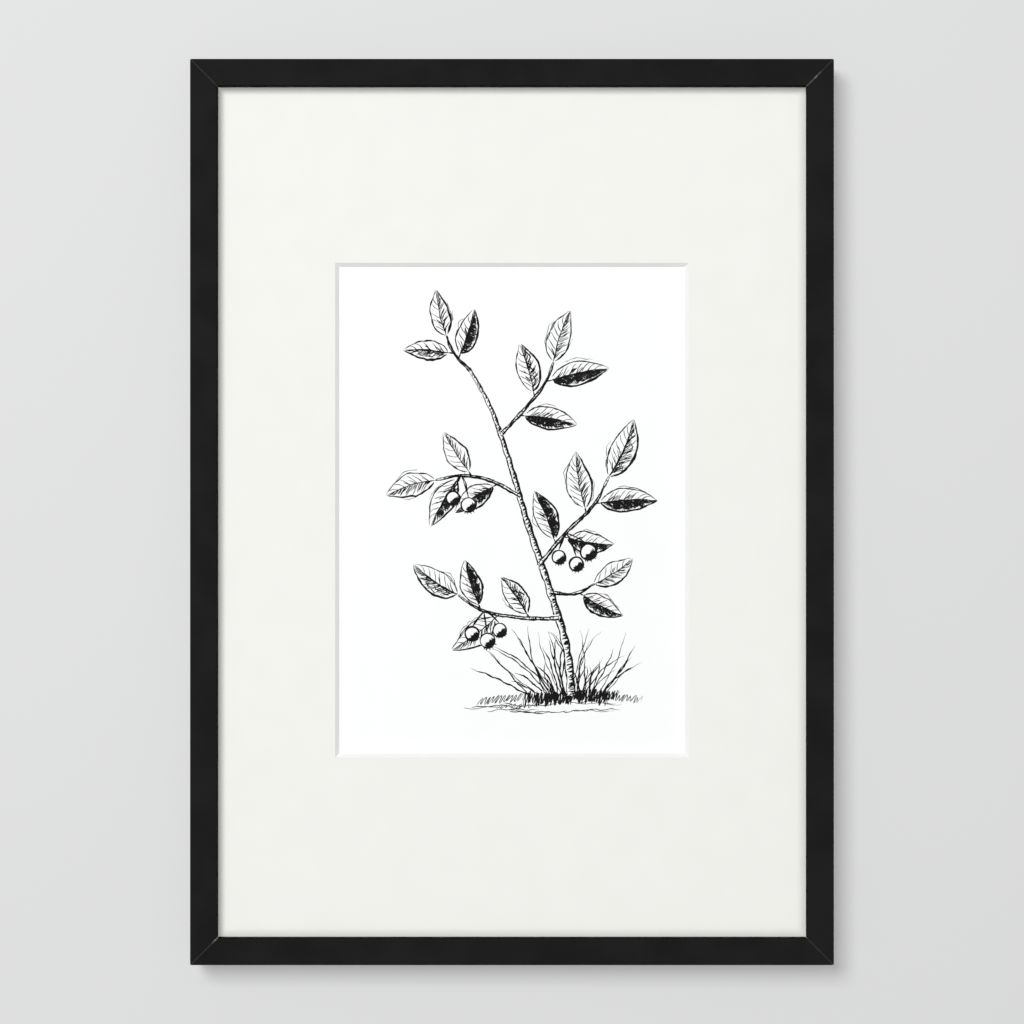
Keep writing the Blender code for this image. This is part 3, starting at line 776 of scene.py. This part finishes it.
def draw_stem(points, thick, thin, tone):
    """A woody stem between two edges, with short marks from its shaded edge."""
    path = smooth_path(points, 2.0)
    count = len(path)
    lit, shaded = [], []
    for index, (u, v) in enumerate(path):
        (au, av), (bu, bv) = path[max(0, index - 1)], path[min(count - 1, index + 1)]
        reach = math.hypot(bu - au, bv - av) or 1
        half = (thick + (thin - thick) * index / (count - 1)) / 2 * (1 + 0.12 * math.sin(index * 0.9))
        lit.append((u - (bv - av) / reach * half, v + (bu - au) / reach * half))
        shaded.append((u + (bv - av) / reach * half, v - (bu - au) / reach * half))
    if sum(u - v for u, v in lit) > sum(u - v for u, v in shaded):
        lit, shaded = shaded, lit
    for repeat in range(2):
        pen_stroke(stem_lines, lit[::3] + [lit[-1]], pen.uniform(0.34, 0.48), 0.24)
    for repeat in range(3):
        pen_stroke(stem_lines, shaded[::3] + [shaded[-1]], pen.uniform(0.46, 0.76), 0.24)
    for index in range(count - 1):
        for mark in range(1 + int(3 * tone)):
            if pen.random() > 0.35 + 0.65 * tone:
                continue
            part, share = pen.random(), pen.uniform(0.35, 0.85)
            mark_u = shaded[index][0] * (1 - part) + shaded[index + 1][0] * part
            mark_v = shaded[index][1] * (1 - part) + shaded[index + 1][1] * part
            far_u = mark_u + (lit[index][0] - mark_u) * share
            far_v = mark_v + (lit[index][1] - mark_v) * share + pen.uniform(-0.6, 1.2)
            dash = [(mark_u, mark_v), (far_u, far_v)]
            pen_stroke(stem_lines, dash, pen.uniform(0.32, 0.56), 0.05, 0.7)
    cover(lit + shaded[::-1])


def draw_twig(points, thick, leaves):
    """A twig under its leaves. Each leaf: share along, turn off the twig, length, width, bend, tone."""
    path = smooth_path(points, 1.0)
    for along, turn, length, width, bend, tone in leaves:
        index = min(len(path) - 2, int(along * (len(path) - 1)))
        (au, av), (bu, bv) = path[index], path[index + 1]
        heading = math.degrees(math.atan2(bv - av, bu - au)) + turn
        stalk = 3.2 if abs(turn) > 8 else 0
        way = math.radians(heading)
        base = (au + stalk * math.cos(way), av + stalk * math.sin(way))
        draw_leaf(base, heading, length, width, bend, tone)
        if stalk:
            for repeat in range(2):
                pen_stroke(stem_lines, [(au, av), base], pen.uniform(0.46, 0.7), 0.05, 0.7)
    draw_stem(points, thick, 0.7, 0.5)


def draw_zigzag(start, end, height, strokes, slant, width):
    """A patch of shade made without lifting the pen, to and fro between two rows."""
    points = []
    for index in range(strokes):
        share = index / (strokes - 1)
        side = 1 if index % 2 else -1
        rise = side * height / 2 * pen.uniform(0.6, 1.1)
        points.append((
            start[0] + (end[0] - start[0]) * share + rise * slant + pen.uniform(-0.5, 0.5),
            start[1] + (end[1] - start[1]) * share + rise,
        ))
    pen_stroke(grass_lines, points, width, 0.18, 0.9)


# Nearest things first: berries, then the twigs' leaves, then the twigs and the main stem
draw_berries((31, -13), [(-4, -14), (6, -18), (13, -11)], 4.4, 0.9)
draw_berries((-29, 20), [(-5, -13), (4, -17)], 4.1, 0.7)
draw_berries((-16, -58), [(-7, -13), (2, -17), (9, -11)], 4.2, 0.8)
draw_twig([(15, -32), (31, -13), (47, 3), (56, 20)], 1.8, [
    (1.0, 2, 36, 15, 22, 0.55),
    (0.74, -52, 33, 14, -18, 0.95),
    (0.62, 56, 33, 14, -16, 0.3),
    (0.34, -58, 27, 12, 20, 0.8),
    (0.26, 62, 30, 13, 14, 0.9),
])
draw_twig([(5, 8), (-12, 17), (-29, 20), (-45, 17)], 1.6, [
    (1.0, 4, 30, 13, 26, 0.35),
    (0.72, 55, 31, 13, 14, 0.75),
    (0.58, -50, 27, 12, -12, 0.25),
    (0.3, 58, 27, 12, 18, 0.95),
])
draw_twig([(-6, 44), (7, 58), (19, 73), (24, 86)], 1.5, [
    (1.0, 3, 31, 13, -18, 0.3),
    (0.76, -50, 34, 14, -14, 0.85),
    (0.55, 55, 29, 13, 12, 0.5),
    (0.3, -56, 31, 13, -16, 1.0),
])
draw_twig([(27, -62), (8, -62), (-16, -58), (-32, -48)], 1.7, [
    (1.0, 0, 31, 14, -20, 0.5),
    (0.74, -46, 27, 12, -18, 0.95),
    (0.56, 48, 31, 13, -16, 0.25),
    (0.28, -52, 26, 12, 12, 0.7),
])
draw_twig([(-24, 80), (-34, 91), (-38, 101)], 1.0, [
    (1.0, -6, 27, 11, -16, 0.35),
    (0.55, 50, 26, 11, 16, 0.7),
    (0.4, -60, 27, 12, 12, 0.9),
])
draw_twig([(22, -47), (36, -48), (48, -42)], 1.3, [
    (1.0, 4, 27, 12, 20, 0.3),
    (0.6, -50, 26, 11, 14, 0.85),
])
draw_stem([(34, -106), (31, -78), (21, -44), (9, -8), (-1, 26), (-12, 58), (-25, 82)], 4.2, 1.5, 1.0)

# Grass at the foot, thick at its root and open at its tips, over scribbled shade and ground lines
ROOT_U, ROOT_V = 34, -106
BLADES = 46
BLADE_STEPS = 7
for blade in range(BLADES):
    u, v = ROOT_U + pen.gauss(0, 10), ROOT_V + pen.uniform(-3, 2)
    away = (u - ROOT_U) * 2.2
    heading = min(150, max(30, 92 - away + pen.uniform(-16, 16)))
    bend = min(165 - heading, max(15 - heading, pen.uniform(-55, 55) - away * 0.5))
    length = pen.uniform(14, 44)
    points = []
    for step in range(BLADE_STEPS + 1):
        way = math.radians(heading + bend * (step / BLADE_STEPS) ** 1.4)
        points.append((u, v))
        u += math.cos(way) * length / BLADE_STEPS
        v += math.sin(way) * length / BLADE_STEPS
    pen_stroke(grass_lines, points, pen.uniform(0.32, 0.7), 0.3, 1.4, 0.9, 0.12)
for patch in range(8):
    u = 12 + patch * 6 + pen.uniform(-2, 2)
    v = ROOT_V - 1 + pen.uniform(-2, 1)
    draw_zigzag(
        (u - 5, v),
        (u + 6, v + pen.uniform(-1, 1)),
        pen.uniform(5, 9),
        pen.randint(13, 21),
        pen.uniform(0.1, 0.5),
        pen.uniform(0.4, 0.66),
    )
draw_zigzag((-19, -110), (9, -107), 4.5, 27, 0.6, 0.34)
draw_zigzag((54, -107), (75, -109), 4.0, 21, 0.6, 0.34)
draw_zigzag((-8, -113), (16, -112), 3.0, 19, 0.9, 0.28)
for ground_line in range(10):
    u = pen.uniform(-30, 42)
    v = ROOT_V - 7 + pen.uniform(-4, 3)
    run = pen.uniform(22, 36)
    middle = (u + run / 2, v + pen.uniform(-1.5, 1.5))
    end = (u + run, v + pen.uniform(-2, 2))
    pen_stroke(grass_lines, [(u, v), middle, end], pen.uniform(0.24, 0.4), 0.45, 1.6)

drawing_ink, tree, shader, place = new_finish("black drawing ink")
flow = speckle(tree, place, INK_FLOW_SCALE, 3.0)
ink_colour = blend_colours(tree, soft_step(tree, flow, 0.42, 0.75), INK_BLACK, INK_THIN)
tree.links.new(ink_colour, shader.inputs["Base Color"])
tree.links.new(spread(tree, flow, 0.55, 0.75), shader.inputs["Roughness"])
shader.inputs["Specular IOR Level"].default_value = INK_GLOSS
set_relief(tree, shader, flow, INK_RELIEF)

MERGE_DISTANCE = 0.000001
MM_IN_METRE = 1000
paper_front_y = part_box("print_sheet")[0].y
for piece_name, lines in (
    ("pen_leaves", leaf_lines),
    ("pen_berries", berry_lines),
    ("pen_stems", stem_lines),
    ("pen_grass", grass_lines),
):
    # Drawn flat, each line as a tube as deep as it is wide, then pressed thin and stood up on the paper
    curves = bpy.data.curves.new(piece_name, "CURVE")
    curves.dimensions = "2D"
    curves.bevel_depth = 1.0
    curves.bevel_resolution = 0
    curves.use_fill_caps = True
    for line in lines:
        spline = curves.splines.new("POLY")
        spline.points.add(len(line) - 1)
        for point, (u, v, half_width) in zip(spline.points, ease_turns(line)):
            point.co = (u / MM_IN_METRE, v / MM_IN_METRE, 0, 1)
            point.radius = half_width / MM_IN_METRE
    drawing = bpy.data.objects.new(piece_name, curves)
    bpy.context.collection.objects.link(drawing)
    bpy.context.view_layer.objects.active = drawing
    drawing.select_set(True)
    bpy.ops.object.convert(target="MESH")
    drawing = bpy.context.object
    drawing.name = piece_name
    bpy.ops.object.mode_set(mode="EDIT")
    bpy.ops.mesh.select_all(action="SELECT")
    bpy.ops.mesh.remove_doubles(threshold=MERGE_DISTANCE)
    bpy.ops.mesh.normals_make_consistent(inside=False)
    bpy.ops.object.mode_set(mode="OBJECT")
    widest = max(abs(vertex.co.z) for vertex in drawing.data.vertices)
    drawing.scale = (1, 1, INK_HALF_THICKNESS / widest)
    drawing.rotation_euler = (math.radians(90), 0, 0)
    drawing.location = (0, paper_front_y - INK_ABOVE_PAPER, WINDOW_MIDDLE_Z)
    bpy.ops.object.transform_apply(location=True, rotation=True, scale=True)
    settle(drawing, drawing_ink)


# Hinges behind the print: strips of gummed paper tape, stuck to the print's top edge and to the mount
# board, each with a cross strip over its upper end. They stay hidden behind the mat.
TAPE_LIGHT = (0.88, 0.85, 0.77, 1)
TAPE_DARK = (0.80, 0.77, 0.68, 1)
TAPE_FIBRES = 1800.0
TAPE_RELIEF = 0.00001

hinge_tape = paper_finish("gummed paper tape", TAPE_LIGHT, TAPE_DARK, TAPE_FIBRES, TAPE_RELIEF)[0]
dress(["hinge_strip_left", "hinge_strip_right", "hinge_cross_left", "hinge_cross_right"], hinge_tape)


# The mount board behind the print: plain white card that takes the hinges. It keeps the print flat and
# off the backing board.
MOUNT_LIGHT = (0.87, 0.86, 0.82, 1)
MOUNT_DARK = (0.82, 0.81, 0.77, 1)
MOUNT_FIBRES = 900.0
MOUNT_RELIEF = 0.00002

mount_card = paper_finish("white mount card", MOUNT_LIGHT, MOUNT_DARK, MOUNT_FIBRES, MOUNT_RELIEF)[0]
dress(["mount_board"], mount_card)


# The backing board: 3 mm hardboard of brown wood fibres pressed hot. Its smooth side faces out at the
# back, flecked with darker bark and lighter shives.
BOARD_BROWN = (0.235, 0.128, 0.062, 1)
BOARD_WARM = (0.262, 0.146, 0.072, 1)
BOARD_BARK = (0.085, 0.045, 0.025, 1)
BOARD_SHIVE = (0.440, 0.290, 0.165, 1)
BOARD_CLOUDS = 28.0
BOARD_BUMPS = 1100.0
BOARD_RELIEF = 0.00003
BOARD_GLOSS = 0.35
SHIVE_SHARE = 0.55
BARK_SHARE = 0.7
# Fibres lie every way, so two sets of them cross: how far each is turned and moved
FIBRE_SETS = ((0.5, 0.0), (2.1, 0.37))
FIBRE_STRETCH = (180.0, 900.0, 1300.0)

hardboard, tree, shader, place = new_finish("brown hardboard")
clouds = speckle(tree, place, BOARD_CLOUDS, 4.0, 0.6)
brown = blend_colours(tree, soft_step(tree, clouds, 0.3, 0.7), BOARD_BROWN, BOARD_WARM)
for turned, moved in FIBRE_SETS:
    laid_inputs = {
        "Vector": place,
        "Rotation": (0.0, turned, 0.0),
        "Location": (moved, 0.0, moved),
        "Scale": FIBRE_STRETCH,
    }
    laid = add_node(tree, "ShaderNodeMapping", laid_inputs).outputs["Vector"]
    strands = speckle(tree, laid, 1.0, 2.0, 0.55)
    shives = work_out(tree, "MULTIPLY", soft_step(tree, strands, 0.60, 0.74), SHIVE_SHARE)
    bark = work_out(tree, "MULTIPLY", soft_step(tree, strands, 0.36, 0.25), BARK_SHARE)
    brown = blend_colours(tree, shives, brown, BOARD_SHIVE)
    brown = blend_colours(tree, bark, brown, BOARD_BARK)
tree.links.new(brown, shader.inputs["Base Color"])
tree.links.new(spread(tree, clouds, 0.52, 0.68), shader.inputs["Roughness"])
shader.inputs["Specular IOR Level"].default_value = BOARD_GLOSS
set_relief(tree, shader, speckle(tree, place, BOARD_BUMPS, 3.0), BOARD_RELIEF)
dress(["backing_board"], hardboard)


# Ten bendable tabs of bright steel strip, shot into the rabbet over the backing board. They are bent up
# by hand to take the boards out and pressed back to hold them.
tab_names = [f"tab_{side}_{number}" for side in ("top", "bottom") for number in (1, 2)]
tab_names += [f"tab_{side}_{number}" for side in ("left", "right") for number in (1, 2, 3)]
dress(tab_names, bright_steel)


# The sawtooth hanger: a stamped strip of zinc-plated steel, raised in the middle over the wall nail and
# riveted to the backing board at both feet. The rivets are bright steel.
ZINC_LIGHT = (0.66, 0.665, 0.655, 1)
ZINC_DARK = (0.46, 0.465, 0.46, 1)
ZINC_SPANGLES = 850.0
ZINC_BLOTCHES = 420.0
ZINC_DULLNESS = 0.14

zinc_plate, tree, shader, place = new_finish("dull zinc plating")
worn = add_node(tree, "ShaderNodeGroup", node_tree=metal_wear)
tree.links.new(place, worn.inputs["Place"])
worn.inputs["Light"].default_value = ZINC_LIGHT
worn.inputs["Dark"].default_value = ZINC_DARK
worn.inputs["Blotches"].default_value = ZINC_BLOTCHES
spangle_inputs = {"Vector": place, "Scale": ZINC_SPANGLES}
spangles = add_node(tree, "ShaderNodeTexVoronoi", spangle_inputs).outputs["Distance"]
zinc_colour = blend_colours(tree, spread(tree, spangles, 0.0, 0.4), worn.outputs["Colour"], ZINC_DARK)
tree.links.new(zinc_colour, shader.inputs["Base Color"])
zinc_sheen = work_out(tree, "ADD", worn.outputs["Roughness"], ZINC_DULLNESS)
tree.links.new(zinc_sheen, shader.inputs["Roughness"])
shader.inputs["Metallic"].default_value = 1.0
set_relief(tree, shader, spangles, STEEL_RELIEF)
dress(["sawtooth_hanger"], zinc_plate)
dress(["hanger_rivet_left", "hanger_rivet_right"], bright_steel)


# The studio: a plain pale wall that the frame hangs on and a plain pale floor well below it. Both show
# from their front only, so that the frame's back and underside can be looked at too.
WALL_BEHIND = 0.0004
FLOOR_Z = -2.4
STUDIO_SIZE = 8.0
STUDIO_PALE = (0.667, 0.669, 0.673, 1)

studio_paint, tree, shader, place = new_finish("pale studio paint")
shader.inputs["Base Color"].default_value = STUDIO_PALE
shader.inputs["Roughness"].default_value = 0.9
shader.inputs["Specular IOR Level"].default_value = 0.0
unseen = add_node(tree, "ShaderNodeBsdfTransparent").outputs["BSDF"]
behind = add_node(tree, "ShaderNodeNewGeometry").outputs["Backfacing"]
is_shadow = add_node(tree, "ShaderNodeLightPath").outputs["Is Shadow Ray"]
open_way = work_out(tree, "MAXIMUM", behind, is_shadow)
one_sided = add_node(tree, "ShaderNodeMixShader", {0: open_way, 1: shader.outputs["BSDF"], 2: unseen})
tree.links.new(one_sided.outputs["Shader"], tree.nodes["Material Output"].inputs["Surface"])

bpy.ops.mesh.primitive_plane_add(size=STUDIO_SIZE, location=(0, 0, FLOOR_Z))
floor = bpy.context.object
floor.name = "studio_floor"
wall_middle = (0, WALL_BEHIND, FLOOR_Z + STUDIO_SIZE / 2)
upright = (math.radians(90), 0, 0)
bpy.ops.mesh.primitive_plane_add(size=STUDIO_SIZE, location=wall_middle, rotation=upright)
wall = bpy.context.object
wall.name = "studio_wall"
for backdrop in (floor, wall):
    backdrop.data.materials.append(studio_paint)
# The floor throws no light up into the mat's bevels and doesn't mirror in the glass or the paint
floor.visible_diffuse = False
floor.visible_glossy = False
floor.visible_transmission = False


# Light: one broad soft lamp at the upper left gives the shadows, another fills in from the front, and a
# third stands behind the wall for the back. A dim pale room surrounds them.
FRAME_CENTRE = Vector((0, FRONT_Y, FRAME_MIDDLE_Z))
ROOM_STRENGTH = 0.117
ROOM_LIGHT = (1.0, 1.0, 1.0, 1)
ROOM_SEEN = (0.80, 0.80, 0.81, 1)
LAMPS = (
    # name, place from the frame's centre, size in metres, watts, whether it shows in gloss
    ("key_lamp", (-1.38, -3.45, 1.52), 1.8, 95.0, False),
    ("front_lamp", (0.0, -5.00, 0.0), 0.7, 131.0, False),
    ("back_lamp", (0.70, 2.20, 0.90), 1.6, 34.0, True),
)
for lamp_name, offset, size, watts, glossy in LAMPS:
    bpy.ops.object.light_add(type="AREA", location=FRAME_CENTRE + Vector(offset))
    lamp = bpy.context.object
    lamp.name = lamp_name
    lamp.data.size = size
    lamp.data.energy = watts
    lamp.rotation_euler = (-Vector(offset)).to_track_quat("-Z", "Y").to_euler()
    lamp.visible_camera = False
    # Kept out of the glass too, whose back face mirrors a lamp as a ray that passed through
    lamp.visible_glossy = glossy
    lamp.visible_transmission = glossy

room = bpy.data.worlds.new("pale room")
room.use_nodes = True
room_tree = room.node_tree
room_light = room_tree.nodes["Background"]
room_light.inputs["Color"].default_value = ROOM_LIGHT
room_light.inputs["Strength"].default_value = ROOM_STRENGTH
seen_room = add_node(room_tree, "ShaderNodeBackground", {"Color": ROOM_SEEN, "Strength": 1.0})
is_seen = add_node(room_tree, "ShaderNodeLightPath").outputs["Is Camera Ray"]
inputs = {0: is_seen, 1: room_light.outputs["Background"], 2: seen_room.outputs["Background"]}
either = add_node(room_tree, "ShaderNodeMixShader", inputs).outputs["Shader"]
room_tree.links.new(either, room_tree.nodes["World Output"].inputs["Surface"])
bpy.context.scene.world = room
bpy.context.scene.view_settings.view_transform = "Standard"


# The camera faces the frame squarely from 1.25 m in front, as high as the frame's middle, and takes in a
# little of the wall on every side.
CAMERA_DISTANCE = 1.25
VIEW_WIDTH = 0.5850
SENSOR = 36.0

camera_place = FRAME_CENTRE - Vector((0, CAMERA_DISTANCE, 0))
bpy.ops.object.camera_add(location=camera_place, rotation=upright)
camera = bpy.context.object
camera.name = "camera"
camera.data.sensor_width = SENSOR
camera.data.lens = SENSOR * CAMERA_DISTANCE / VIEW_WIDTH
bpy.context.scene.camera = camera
